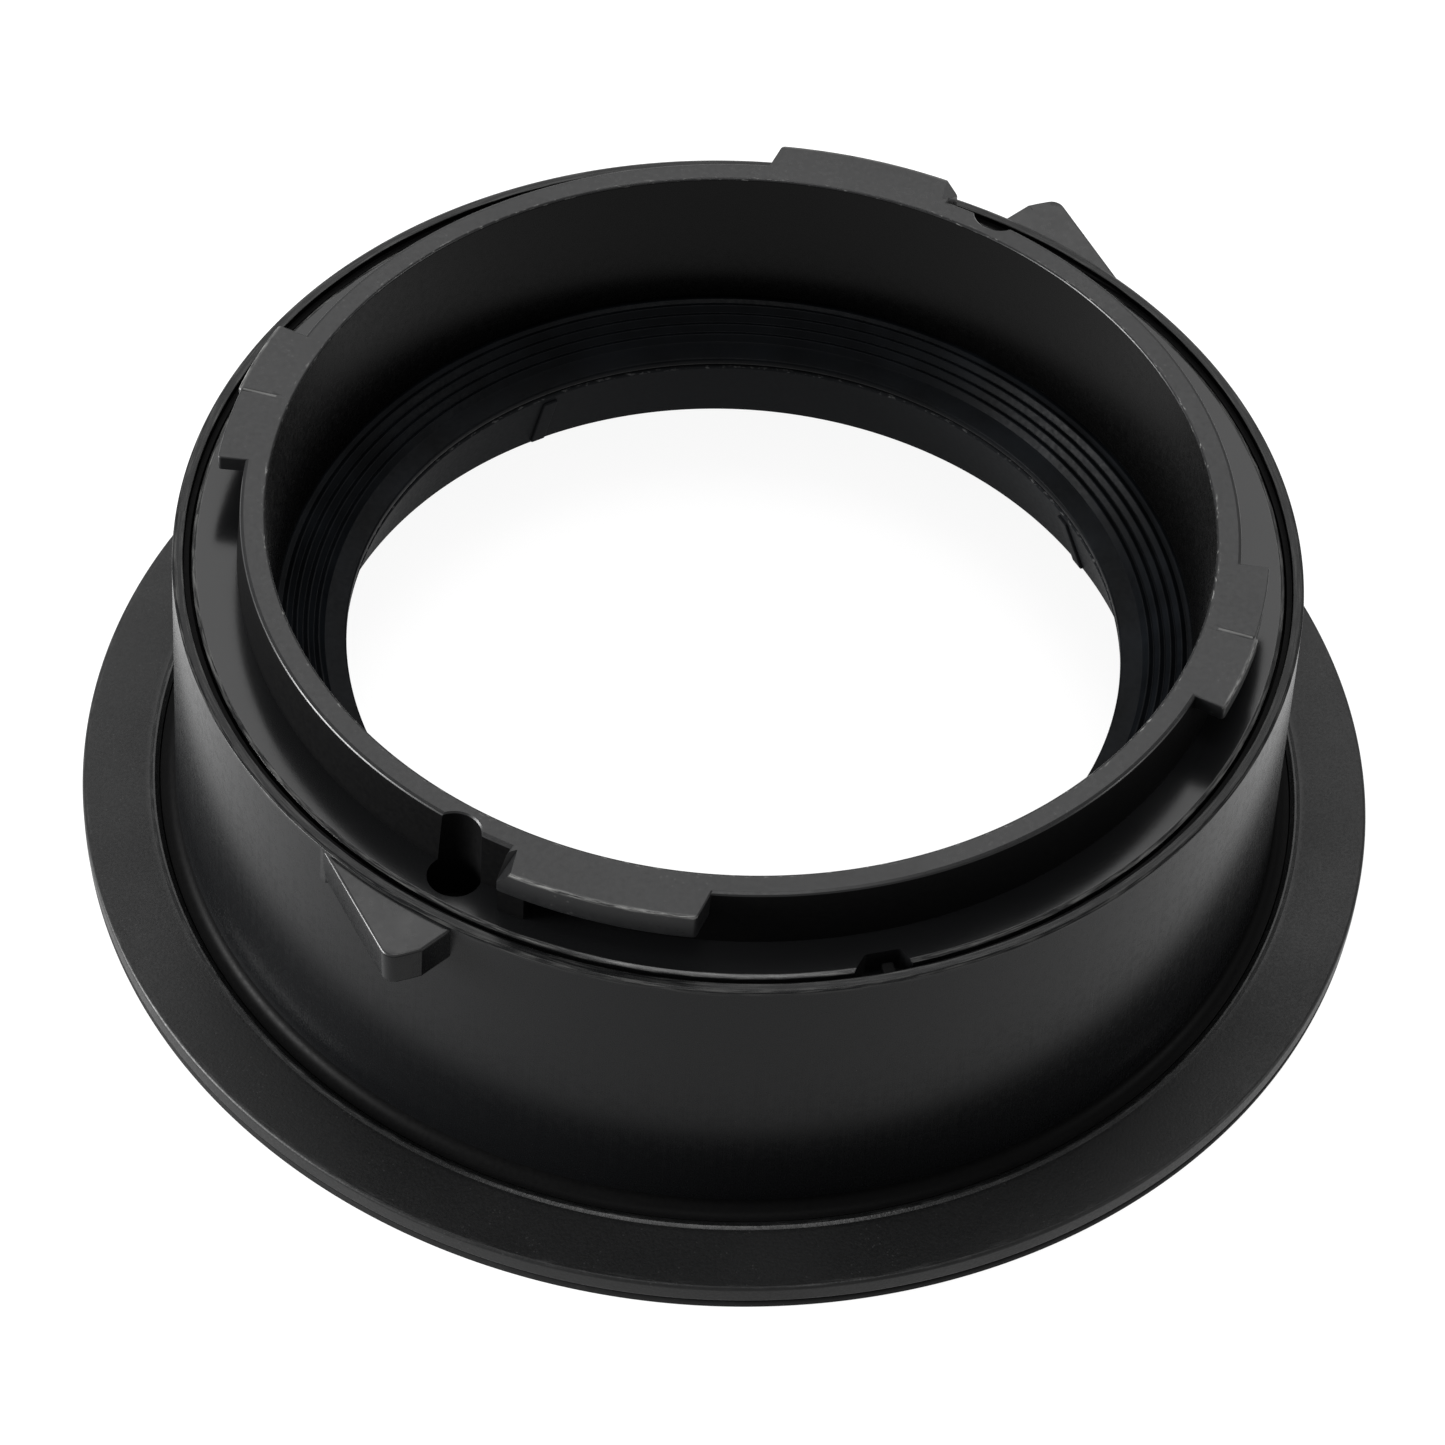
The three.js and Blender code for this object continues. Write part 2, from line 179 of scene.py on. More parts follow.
def extruded(name, outline, bottom, top, edge=0.0, dish=0.0):
    """A prism over a flat outline. Its edges are rounded by edge, and its top may be dished."""
    dish_border = 0.8
    bm = bmesh.new()
    low = [bm.verts.new((p.x * MM, p.y * MM, bottom * MM)) for p in outline]
    high = [bm.verts.new((p.x * MM, p.y * MM, top * MM)) for p in outline]
    count = len(outline)
    bm.faces.new(list(reversed(low)))
    bm.faces.new(high)
    for i in range(count):
        j = (i + 1) % count
        bm.faces.new((low[i], low[j], high[j], high[i]))
    if edge > 0:
        round_edges(bm, edge)
    if dish > 0:
        bm.faces.ensure_lookup_table()
        cap = max(bm.faces, key=height_then_area)
        bmesh.ops.inset_region(bm, faces=[cap], thickness=dish_border * MM)
        bmesh.ops.translate(bm, verts=cap.verts, vec=(0, 0, -dish * MM))
    return new_object(name, bm)


def height_then_area(face):
    return round(face.calc_center_median().z, 7), face.calc_area()


def round_edges(bm, width):
    """Rounds every edge where two faces meet at more than 40 degrees."""
    bmesh.ops.recalc_face_normals(bm, faces=bm.faces)
    least = math.radians(40)
    sharp = [e for e in bm.edges if len(e.link_faces) == 2 and e.calc_face_angle() > least]
    bmesh.ops.bevel(
        bm, geom=sharp, offset=width * MM, segments=3, profile=0.5,
        affect="EDGES", clamp_overlap=True,
    )


def solid_from_corners(name, corners):
    """The convex solid over (x, y, z) corners."""
    bm = bmesh.new()
    for corner in corners:
        bm.verts.new(Vector(corner) * MM)
    bmesh.ops.convex_hull(bm, input=bm.verts)
    return new_object(name, bm)


def apply_modifiers(obj):
    graph = bpy.context.evaluated_depsgraph_get()
    made = bpy.data.meshes.new_from_object(obj.evaluated_get(graph))
    obj.modifiers.clear()
    old = obj.data
    obj.data = made
    bpy.data.meshes.remove(old)
    made.name = obj.name


def combine(target, tools, operation):
    """Adds tools to target, or cuts them out of it, and removes them."""
    for tool in tools:
        modifier = target.modifiers.new("combine", "BOOLEAN")
        modifier.operation = operation
        modifier.solver = "MANIFOLD"
        modifier.object = tool
        apply_modifiers(target)
        bpy.data.objects.remove(tool)
    return target


def soften(obj):
    """Smooth shading that keeps large faces flat, with hard lines only at real corners."""
    obj.data.shade_smooth()
    obj.data.set_sharp_from_angle(angle=math.radians(35))
    modifier = obj.modifiers.new("weighted", "WEIGHTED_NORMAL")
    modifier.keep_sharp = True
    apply_modifiers(obj)


def place(obj, node, finishes, choose=None):
    """Gives a finished piece its finishes, its CAD node and that node's body.

    choose takes a face's middle, in millimetres, and its normal, and returns the finish's place
    in the list.
    """
    obj.name = node + "_fine"
    obj.data.materials.clear()
    for finish in finishes:
        obj.data.materials.append(finish)
    for face in obj.data.polygons:
        face.material_index = choose(face.center / MM, face.normal) if choose else 0
    soften(obj)
    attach(obj, frame["nodes"][node]["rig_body"])
    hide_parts(node)


# ---- materials ------------------------------------------------------------------------------


class Finish:
    """A plastic or rubber finish built from nodes in object space, so it rides with the piece."""

    def __init__(self, name, specular):
        self.material = bpy.data.materials.new(name)
        self.material.use_nodes = True
        self.tree = self.material.node_tree
        self.tree.nodes.clear()
        self.output = self.node("ShaderNodeOutputMaterial")
        self.shader = self.node("ShaderNodeBsdfPrincipled")
        self.shader.inputs["Specular IOR Level"].default_value = specular
        self.shader.inputs["IOR"].default_value = 1.5
        self.link(self.shader.outputs[0], self.output.inputs["Surface"])
        self.place = self.node("ShaderNodeTexCoord").outputs["Object"]
        split = self.node("ShaderNodeSeparateXYZ")
        self.link(self.place, split.inputs[0])
        self.x, self.y, self.z = split.outputs
        self.bump_normal = None

    def node(self, kind, **settings):
        made = self.tree.nodes.new(kind)
        for key, value in settings.items():
            setattr(made, key, value)
        return made

    def link(self, source, target):
        self.tree.links.new(source, target)

    def feed(self, socket, value):
        if isinstance(value, bpy.types.NodeSocket):
            self.link(value, socket)
        else:
            socket.default_value = value

    def math(self, operation, a, b=0.0):
        made = self.node("ShaderNodeMath", operation=operation)
        self.feed(made.inputs[0], a)
        self.feed(made.inputs[1], b)
        return made.outputs[0]

    def times(self, a, b):
        return self.math("MULTIPLY", a, b)

    def plus(self, a, b):
        return self.math("ADD", a, b)

    def most(self, a, b):
        return self.math("MAXIMUM", a, b)

    def square(self, a):
        return self.math("MULTIPLY", a, a)

    def noise(self, scale, detail, roughness=0.5, vector=None):
        made = self.node("ShaderNodeTexNoise")
        self.link(vector or self.place, made.inputs["Vector"])
        made.inputs["Scale"].default_value = scale
        made.inputs["Detail"].default_value = detail
        made.inputs["Roughness"].default_value = roughness
        return made.outputs["Fac"]

    def cells(self, scale):
        """Distance to the nearest of many scattered points."""
        made = self.node("ShaderNodeTexVoronoi", feature="F1")
        self.link(self.place, made.inputs["Vector"])
        made.inputs["Scale"].default_value = scale
        return made.outputs["Distance"]

    def span(self, value, low, high, out_low=0.0, out_high=1.0):
        """value moved from the span low..high to out_low..out_high, and held there."""
        made = self.node("ShaderNodeMapRange")
        for socket, number in zip(made.inputs, (value, low, high, out_low, out_high)):
            self.feed(socket, number)
        return made.outputs[0]

    def round_place(self, around, along):
        """Coordinates that run round the axis and up it, each with its own stretch."""
        angle = self.math("ARCTAN2", self.y, self.x)
        made = self.node("ShaderNodeCombineXYZ")
        self.link(self.times(angle, around), made.inputs[0])
        self.link(self.times(self.z, along), made.inputs[1])
        return made.outputs[0]

    def length(self, across, along):
        return self.math("SQRT", self.plus(self.square(across), self.square(along)))

    def radius(self):
        return self.length(self.x, self.y)

    def near_rings(self, rings, reach):
        """1 on any of the circles (radius, height) round the axis, falling to 0 at reach, in mm."""
        radius = self.radius()
        nearest = None
        for ring_radius, ring_height in rings:
            across = self.math("SUBTRACT", radius, ring_radius * MM)
            along = self.math("SUBTRACT", self.z, ring_height * MM)
            away = self.length(across, along)
            nearest = away if nearest is None else self.math("MINIMUM", nearest, away)
        return self.span(nearest, 0.0, reach * MM, 1.0, 0.0)

    def worn(self, rings, reach, length, width, low, high):
        """Streaks along the given circles: rubbing on most pieces, and partly painted highlight on
        the collar's edges; their size is in millimetres.
        """
        angle = self.math("ARCTAN2", self.y, self.x)
        place = self.node("ShaderNodeCombineXYZ")
        self.link(self.times(angle, rings[0][0] / length), place.inputs[0])
        self.link(self.times(self.radius(), 1 / (width * MM)), place.inputs[1])
        self.link(self.times(self.z, 1 / (width * MM)), place.inputs[2])
        streaks = self.noise(1.0, 3, 0.6, vector=place.outputs[0])
        return self.times(self.near_rings(rings, reach), self.span(streaks, low, high))

    def specks(self, scale, size, rarity):
        """Small scattered dots."""
        dots = self.span(self.cells(scale), size, size * 0.6)
        gaps = self.span(self.noise(scale * 0.21, 1), rarity, rarity + 0.04)
        return self.times(dots, gaps)

    def colour(self, base, worn, amount):
        """The base colour, moving to the worn one by amount."""
        mix = self.node("ShaderNodeMix", data_type="RGBA")
        self.feed(mix.inputs["Factor"], amount)
        mix.inputs["A"].default_value = (*base, 1)
        mix.inputs["B"].default_value = (*worn, 1)
        self.link(mix.outputs["Result"], self.shader.inputs["Base Color"])

    def rough(self, value):
        self.link(value, self.shader.inputs["Roughness"])

    def bump(self, height, depth, strength):
        """Stacks one more bump; depth is in millimetres."""
        made = self.node("ShaderNodeBump")
        made.inputs["Strength"].default_value = strength
        made.inputs["Distance"].default_value = depth * MM
        self.link(height, made.inputs["Height"])
        if self.bump_normal is not None:
            self.link(self.bump_normal, made.inputs["Normal"])
        self.bump_normal = made.outputs[0]
        self.link(self.bump_normal, self.shader.inputs["Normal"])


def flange_finish():
    """Satin black with a fine spark-eroded grain, polished along its inner edge."""
    f = Finish("flange_satin", 0.16)
    grain = f.noise(2600, 3, 0.6)
    patches = f.noise(45, 3)
    edge = f.near_rings([(BEAD_RADIUS, FLANGE_TOP)], 1.2)
    rims = [(FLANGE_RADIUS - 0.4, FLANGE_TOP), (BEAD_RADIUS, FLANGE_TOP)]
    scuffs = f.worn(rims, 0.7, 3, 0.3, 0.5, 0.8)
    dust = f.specks(1500, 0.20, 0.56)
    f.colour((0.0030, 0.0031, 0.0032), (0.045, 0.045, 0.045),
             f.most(f.times(scuffs, 0.5), f.times(dust, 0.22)))
    satin = f.plus(f.span(patches, 0.3, 0.7, 0.38, 0.50), f.span(grain, 0.3, 0.7, -0.07, 0.07))
    f.rough(f.math("SUBTRACT", satin, f.times(edge, 0.25)))
    f.bump(grain, 0.045, 0.7)
    return f.material


def gasket_finish():
    """Dull black foam rubber."""
    f = Finish("gasket_rubber", 0.12)
    grain = f.noise(1500, 3, 0.6)
    f.colour((0.0025, 0.0025, 0.0026), (0.008, 0.008, 0.008), f.span(grain, 0.5, 0.8))
    f.rough(f.span(grain, 0.3, 0.7, 0.68, 0.85))
    f.bump(grain, 0.05, 0.5)
    return f.material


def hub_finish():
    """Glossy black wall with faint upright draw lines and a slow ripple; its rim is rubbed."""
    f = Finish("hub_gloss", 0.105)
    lines = f.noise(1.0, 2, 0.6, vector=f.round_place(420.0, 25.0))
    ripple = f.noise(28, 2)
    fine = f.noise(900, 2)
    rim = [(RIM_RADIUS - 0.2, RIM_TOP), (SEAT_RADIUS, RIM_TOP)]
    rub = f.worn(rim, 0.9, 5, 0.22, 0.46, 0.78)
    f.colour((0.0020, 0.0021, 0.0023), (0.060, 0.060, 0.058), f.times(rub, 0.7))
    f.rough(f.plus(f.span(lines, 0.3, 0.7, 0.22, 0.27), f.span(fine, 0.4, 0.7, 0.0, 0.05)))
    f.bump(lines, 0.006, 0.25)
    f.bump(ripple, 0.12, 0.25)
    return f.material


def fin_top_light_finish():
    """The hub's black made lighter and shinier for the fins' upward faces, as painted light, and a
    little patchy.
    """
    f = Finish("fin_top_painted_light", 0.22)
    fine = f.noise(1200, 3, 0.6)
    patches = f.noise(140, 3)
    f.colour((0.0045, 0.0046, 0.0048), (0.012, 0.012, 0.012), f.span(patches, 0.45, 0.75))
    f.rough(f.span(fine, 0.3, 0.7, 0.26, 0.36))
    f.bump(fine, 0.010, 0.4)
    return f.material


def collar_finish():
    """Semi-gloss black: a mirror-smooth shelf, a slightly dusty top and rubbed edges; the
    lightening at the lugs' outer edges and the shelf's edge is partly rubbing and partly painted
    highlight, and on the ridge tops it is painted highlight.
    """
    f = Finish("collar_semigloss", 0.20)
    fine = f.noise(1400, 3, 0.6)
    patches = f.noise(60, 3)
    above_shelf = f.span(f.z, (SHELF_TOP + 0.05) * MM, (SHELF_TOP + 0.5) * MM)
    on_ridge = f.span(f.z, (COLLAR_TOP + 0.05) * MM, (COLLAR_TOP + 0.10) * MM)
    dust = f.times(f.specks(900, 0.20, 0.58), f.times(above_shelf, 0.08))
    # outer lightens the lugs' outer edges: partly rubbing, partly a painted highlight line.
    outer = f.worn([(LUG_RADIUS - 0.1, COLLAR_TOP)], 0.45, 2.0, 0.2, 0.38, 0.64)
    inner = f.worn([(THROAT_RADIUS + 0.2, COLLAR_TOP)], 0.5, 1.2, 0.3, 0.60, 0.70)
    # shelf lightens the shelf's edge: partly rubbing, partly a painted highlight line.
    shelf = f.worn([(SHELF_RADIUS - 0.2, SHELF_TOP)], 0.5, 4.0, 0.25, 0.44, 0.74)
    # on_ridge lightens the side lugs' ridge tops: a painted highlight.
    wear_and_highlight = f.most(f.most(outer, inner), f.most(shelf, f.times(on_ridge, 0.45)))
    f.colour((0.0036, 0.0037, 0.0039), (0.105, 0.105, 0.102), f.most(wear_and_highlight, dust))
    shine = f.span(patches, 0.3, 0.7, 0.15, 0.21)
    f.rough(f.plus(shine, f.times(above_shelf, f.span(fine, 0.3, 0.7, 0.09, 0.20))))
    f.bump(fine, 0.010, 0.3)
    return f.material


def painted_shade_finish():
    """Darker, duller black: painted shade on the hub's foot and hollows, under the lugs, on the
    collar's outer wall and in the keyholes.
    """
    f = Finish("painted_shade_matt", 0.02)
    fine = f.noise(1500, 3, 0.6)
    f.colour((0.0011, 0.0011, 0.0012), (0.0022, 0.0022, 0.0022), fine)
    f.rough(f.span(fine, 0.3, 0.7, 0.38, 0.50))
    f.bump(fine, 0.008, 0.3)
    return f.material


def throat_shade_finish():
    """A darker, less shiny copy of the collar's black for the bore: painted shade in the throat."""
    f = Finish("throat_painted_shade", 0.075)
    fine = f.noise(1100, 3, 0.6)
    f.colour((0.0006, 0.0006, 0.0006), (0.0012, 0.0012, 0.0012), fine)
    f.rough(f.span(fine, 0.3, 0.7, 0.22, 0.30))
    f.bump(fine, 0.004, 0.15)
    return f.material


def seal_finish():
    """Smooth rubber with a bluish bloom."""
    f = Finish("seal_rubber", 0.035)
    bloom = f.noise(120, 3)
    fine = f.noise(1600, 2)
    f.colour((0.0010, 0.0012, 0.0015), (0.0028, 0.0034, 0.0043), f.span(bloom, 0.35, 0.75))
    f.rough(f.span(fine, 0.3, 0.7, 0.38, 0.50))
    f.bump(fine, 0.01, 0.3)
    return f.material


def retainer_finish():
    """Satin grey-black with a chipped upper edge."""
    f = Finish("retainer_satin", 0.004)
    fine = f.noise(1800, 3, 0.6)
    chips = f.worn([(LIP_RADIUS, CONE_TOP)], 0.5, 0.9, 0.5, 0.56, 0.66)
    f.colour((0.0085, 0.0090, 0.0098), (0.10, 0.10, 0.10), chips)
    f.rough(f.span(fine, 0.3, 0.7, 0.40, 0.52))
    f.bump(fine, 0.015, 0.4)
    return f.material


# ---- pieces ---------------------------------------------------------------------------------

FLANGE_RADIUS = 89.2
FLANGE_TOP = 4.5
RING_BOTTOM = 1.5
REBATE_RADIUS = 83.4
REBATE_TOP = 3.0
RING_BORE = 78.8
RING_INNER_FACE = RING_BORE - 0.15
BEAD_RADIUS = 79.5
BEAD_HEIGHT = 0.17
GASKET_BORE = 75.0
GASKET_THICKNESS = 1.2


def flange_ring():
    """The turning ring, rebated from below, with a low bead along its inner edge."""
    section = rounded([
        (REBATE_RADIUS, RING_BOTTOM, 0.2),
        (FLANGE_RADIUS, RING_BOTTOM, 0.45),
        (FLANGE_RADIUS, FLANGE_TOP - BEAD_HEIGHT, 0.5),
        (BEAD_RADIUS + 0.5, FLANGE_TOP - BEAD_HEIGHT, 0.15),
        (BEAD_RADIUS, FLANGE_TOP, 0.12),
        (BEAD_RADIUS - 0.25, FLANGE_TOP, 0.12),
        (RING_INNER_FACE, FLANGE_TOP - 0.3, 0.05),
        (RING_INNER_FACE, REBATE_TOP, 0),
        (REBATE_RADIUS, REBATE_TOP, 0.2),
    ], steps=6)
    place(turned("flange", section), "flange_ring", [flange_finish()])


def base_gasket():
    """The thin soft ring under the flange."""
    section = rounded([
        (GASKET_BORE, 0, 0.25),
        (FLANGE_RADIUS - 0.1, 0, 0.35),
        (FLANGE_RADIUS - 0.1, GASKET_THICKNESS, 0.35),
        (GASKET_BORE, GASKET_THICKNESS, 0.25),
    ])
    place(turned("gasket", section), "base_gasket", [gasket_finish()])


RIM_TOP = 47.8
RIM_RADIUS = 75.05
WALL_FOOT_RADIUS = 76.4
FOOT_RADIUS = RING_BORE - RUNNING_GAP
FOOT_LIP_RADIUS = REBATE_RADIUS - RUNNING_GAP
FOOT_LIP_TOP = REBATE_TOP - GAP
HUB_FOOT_BORE = 74.2
SHELF_TOP = 47.5
SHELF_RADIUS = 72.5
SHELF_DISH = 0.36
SEAT_RADIUS = 73.6
SEAT_LEDGE = SHELF_TOP - 2.9
FOOT_TOP = FLANGE_TOP - 0.4
FOOT_FILLET = 1.9
GROOVE_FLOOR = RIM_TOP - 0.9
PILOT_BORE = 71.4
PILOT_BOTTOM = 32.0
PILOT_CHAMFER = 2.4
HUB_BORE = 72.8
INDEX_ANGLE = -72.7
KEY_HALF_SPAN = 0.6
WALL_STATIONS = (14, 24, 32, 38, 41)
FIN_ANGLES = (-119.3, 59.3)


def wedge_fin(crest_angle):
    """A triangular fin on the wall just under the rim, with a shallow dish in its top."""
    top = RIM_TOP - 0.6
    height = 5.4
    root = RIM_RADIUS - 1.2
    corners = (
        (root, -15.4, 0),
        (83.1, 0.1, 1.8),
        (80.8, 1.5, 0.5),
        (79.6, 2.2, 0.4),
        (root, 3.6, 0),
    )
    outline = []
    for radius, angle, round_by in corners:
        point = polar(radius, crest_angle + angle)
        outline.append((point.x, point.y, round_by))
    return extruded("fin", rounded(outline, steps=6), top - height, top, edge=0.4, dish=0.05)


def hub_choice(middle, normal):
    """Which of the hub's finishes a face has."""
    gloss, dull, fin = range(3)
    radius = math.hypot(middle.x, middle.y)
    on_foot = middle.z < FOOT_TOP + FOOT_FILLET
    inside = radius < SEAT_RADIUS + 0.01 and middle.z < RIM_TOP - 0.2
    on_fin = radius > RIM_RADIUS + 0.1 and normal.z > 0.7
    # The dull finish is painted shade on the foot and the hollows inside.
    if on_foot or inside:
        return dull
    # The fin finish is painted light on the fins' upward faces.
    return fin if on_fin else gloss


def hub():
    """The tall wall with its foot lip, the groove and ledge for the insert, a key and two fins."""
    draft = (WALL_FOOT_RADIUS - RIM_RADIUS) / (RIM_TOP - FOOT_TOP)
    wall = [(WALL_FOOT_RADIUS - draft * (z - FOOT_TOP), z, 0) for z in WALL_STATIONS]
    section = rounded([
        (HUB_FOOT_BORE, RING_BOTTOM, 0.3),
        (FOOT_LIP_RADIUS, RING_BOTTOM, 0.2),
        (FOOT_LIP_RADIUS, FOOT_LIP_TOP, 0.2),
        (FOOT_RADIUS, FOOT_LIP_TOP, 0.2),
        (FOOT_RADIUS + 0.1, FOOT_TOP, 0.02),
        (WALL_FOOT_RADIUS, FOOT_TOP, FOOT_FILLET),
        *wall,
        (RIM_RADIUS, RIM_TOP - 0.2, 0.12),
        (RIM_RADIUS - 0.4, RIM_TOP, 0.2),
        (SEAT_RADIUS, RIM_TOP, 0.12),
        (SEAT_RADIUS, GROOVE_FLOOR, 0.15),
        (SHELF_RADIUS + GAP, GROOVE_FLOOR, 0.1),
        (SHELF_RADIUS + GAP, SEAT_LEDGE, 0.1),
        (PILOT_BORE, SEAT_LEDGE, 0.2),
        (PILOT_BORE, PILOT_BOTTOM, 0),
        (HUB_BORE, PILOT_BOTTOM - PILOT_CHAMFER, 0),
    ], steps=6)
    body = turned("hub", section)
    key_inner = SHELF_RADIUS - 0.9
    key_outer = SEAT_RADIUS + 0.8
    key_start = INDEX_ANGLE - KEY_HALF_SPAN
    key_end = INDEX_ANGLE + KEY_HALF_SPAN
    key = [
        polar(key_inner, key_start),
        polar(key_outer, key_start),
        polar(key_outer, key_end),
        polar(key_inner, key_end),
    ]
    added = [extruded("key", key, SEAT_LEDGE - 0.3, RIM_TOP - 0.5, edge=0.25)]
    added += [wedge_fin(angle) for angle in FIN_ANGLES]
    place(combine(body, added, "UNION"), "hub",
          [hub_finish(), painted_shade_finish(), fin_top_light_finish()], hub_choice)


COLLAR_TOP = 55.6
COLLAR_RADIUS = 65.9
THROAT_RADIUS = 62.6
LUG_RADIUS = 70.0
LUG_ROOT = 1.4
LOCK_LUG_CENTRES = (-102.1, 77.9)
LOCK_LUG_HALF_SPAN = 10.0
LOCK_LUG_THICKNESS = 4.0
WEB_SPAN = 1.2
WEB_UNDER_LUG = 1.8
WEB_SET_BACK = 0.5
SIDE_LUG_CENTRES = (-15.1, 166.9)
SIDE_LUG_HALF_SPAN = 10.7
SIDE_LUG_THICKNESS = 2.4
KEYHOLE_ANGLES = (-119.45, 60.55)
KEYHOLE_RADIUS = 3.45
KEYHOLE_OFFSET = 67.6
KEYHOLE_DEPTH = 8.0
PILOT_RADIUS = PILOT_BORE - RUNNING_GAP
PILOT_FOOT = PILOT_BOTTOM + 1.8
RING_GROOVE_BOTTOM = PILOT_FOOT + 1.5
RING_GROOVE_TOP = RING_GROOVE_BOTTOM + 2.8
RING_GROOVE_RADIUS = 68.6
SOCKET_RADIUS = 64.6
SOCKET_OUTER = 67.0
SOCKET_FOOT = 12.0
SOCKET_SHOULDER = 33.4
TAB_BOTTOM = 16.2
TAB_TOP = 19.2
TAB_HALF_SPAN = 2.5
UNLOCK_TURN = 18.0
RETAINER_TAB_ANGLES = (-103, -13, 77, 167)
GRIP_RIB_ANGLES = (-148, -58, 32, 122)


def lug(centre, half_span, thickness, rear_inset=0.0, end_slant=0.0):
    """An outward hook level with the collar's top.

    The half towards the larger angle may stand back a little, as at a mould's split line, and
    its end may spread towards the root by end_slant degrees.
    """
    root = COLLAR_RADIUS - LUG_ROOT
    start = centre - half_span
    end = centre + half_span
    corner = 0.5
    rear = LUG_RADIUS - rear_inset
    turn = math.degrees(corner / LUG_RADIUS)
    outline = [polar(root, start)]
    outline += curve(polar(LUG_RADIUS - corner, start), polar(LUG_RADIUS, start),
                     polar(LUG_RADIUS, start + turn))
    outline += arc_points(LUG_RADIUS, start + turn, centre)[1:]
    outline += arc_points(rear, centre + 0.15, end - turn)[:-1]
    slant = end_slant * corner / (rear - root)
    outline += curve(polar(rear, end - turn), polar(rear, end), polar(rear - corner, end + slant))
    outline += arc_points(root, end + end_slant, start)[:-1]
    return extruded("lug", outline, COLLAR_TOP - thickness, COLLAR_TOP, edge=0.26)


def side_lug(centre):
    """A thin lug with a low ridge across its middle, where the mould's halves met."""
    half_width = 0.38
    height = 0.13
    inner = COLLAR_RADIUS - 1.5
    outer = LUG_RADIUS - 0.6
    corners = []
    for radius in (inner, outer):
        corners += [(radius, -half_width, COLLAR_TOP - 1), (radius, half_width, COLLAR_TOP - 1),
                    (radius, -half_width, COLLAR_TOP), (radius, half_width, COLLAR_TOP)]
    corners += [(inner + 0.5, 0, COLLAR_TOP + height), (outer - 0.2, 0, COLLAR_TOP + height)]
    ridge = solid_from_corners("ridge", corners)
    ridge.data.transform(Matrix.Rotation(math.radians(centre), 4, "Z"))
    body = lug(centre, SIDE_LUG_HALF_SPAN, SIDE_LUG_THICKNESS, rear_inset=0.4)
    return combine(body, [ridge], "UNION")


def lock_lug(centre):
    """A thick lug with a web down to the shelf at its closed end, whose corner is cut off."""
    start = centre - LOCK_LUG_HALF_SPAN
    web_start = start - WEB_SPAN
    web_outline = sector_outline(
        COLLAR_RADIUS - LUG_ROOT, LUG_RADIUS - WEB_SET_BACK,
        web_start + 0.05, start + WEB_UNDER_LUG,
    )
    web = extruded("web", web_outline, SHELF_TOP - 0.6, COLLAR_TOP - 1)
    plate = lug(centre - WEB_SPAN / 2, LOCK_LUG_HALF_SPAN + WEB_SPAN / 2, LOCK_LUG_THICKNESS,
                end_slant=1.7)
    body = combine(plate, [web], "UNION")
    # x runs outward, y along the rim from the web's closed end and z up from the collar's top.
    # The cut's flat face goes through heel, top and side.
    heel = Vector((COLLAR_RADIUS - 0.05, 0.9, 0))
    top = heel + (Vector((LUG_RADIUS, 2.0, 0)) - heel) * 2
    side = heel + (Vector((LUG_RADIUS, 0, -2.5)) - heel) * 2
    cut = solid_from_corners("cut", [heel, top, side, (heel.x, -3, 3), (top.x, -3, 3)])
    turn = Matrix.Rotation(math.radians(web_start), 4, "Z")
    cut.data.transform(Matrix.Translation((0, 0, COLLAR_TOP * MM)) @ turn)
    return combine(body, [cut], "DIFFERENCE")


def keyhole(angle):
    """The upright hole beside a lock lug, with a small chamfer where it opens on the top."""
    centre = polar(KEYHOLE_OFFSET, angle)
    chamfer = 0.2
    section = [
        (KEYHOLE_RADIUS, SHELF_TOP - KEYHOLE_DEPTH),
        (KEYHOLE_RADIUS, COLLAR_TOP - chamfer),
        (KEYHOLE_RADIUS + 1.2, COLLAR_TOP + 1.2 - chamfer),
    ]
    bm = bmesh.new()
    steps = 64
    rings = []
    for radius, z in section:
        points = [centre + polar(radius, 360 * i / steps) for i in range(steps)]
        rings.append([bm.verts.new((p.x * MM, p.y * MM, z * MM)) for p in points])
    for low, high in zip(rings, rings[1:]):
        for i in range(steps):
            j = (i + 1) % steps
            bm.faces.new((low[i], low[j], high[j], high[i]))
    bm.faces.new(rings[0])
    bm.faces.new(rings[-1])
    return new_object("keyhole", bm)


def in_keyhole(point):
    for angle in KEYHOLE_ANGLES:
        centre = polar(KEYHOLE_OFFSET, angle)
        away = math.hypot(point.x - centre.x, point.y - centre.y)
        if away < KEYHOLE_RADIUS + 0.02 and point.z < COLLAR_TOP - 0.1:
            return True
    return False


def collar_choice(middle, normal):
    """Which of the collar's finishes a face has."""
    semigloss, matt, throat = range(3)
    radius = math.hypot(middle.x, middle.y)
    outward = (middle.x * normal.x + middle.y * normal.y) / radius
    # The throat finish is painted shade in the bore.
    if radius < THROAT_RADIUS and middle.z > SOCKET_SHOULDER:
        return throat
    under_lugs = SHELF_TOP + 0.1 < middle.z < COLLAR_TOP - LOCK_LUG_THICKNESS - 0.1
    on_wall = outward > 0.9 and radius < COLLAR_RADIUS + 0.7
    below_edge = SHELF_TOP < middle.z < COLLAR_TOP - 0.35
    # The matt finish is painted shade: under the lugs, on the collar's outer wall below its edge,
    # and in the keyholes.
    if under_lugs or (on_wall and below_edge) or in_keyhole(middle):
        return matt
    return semigloss


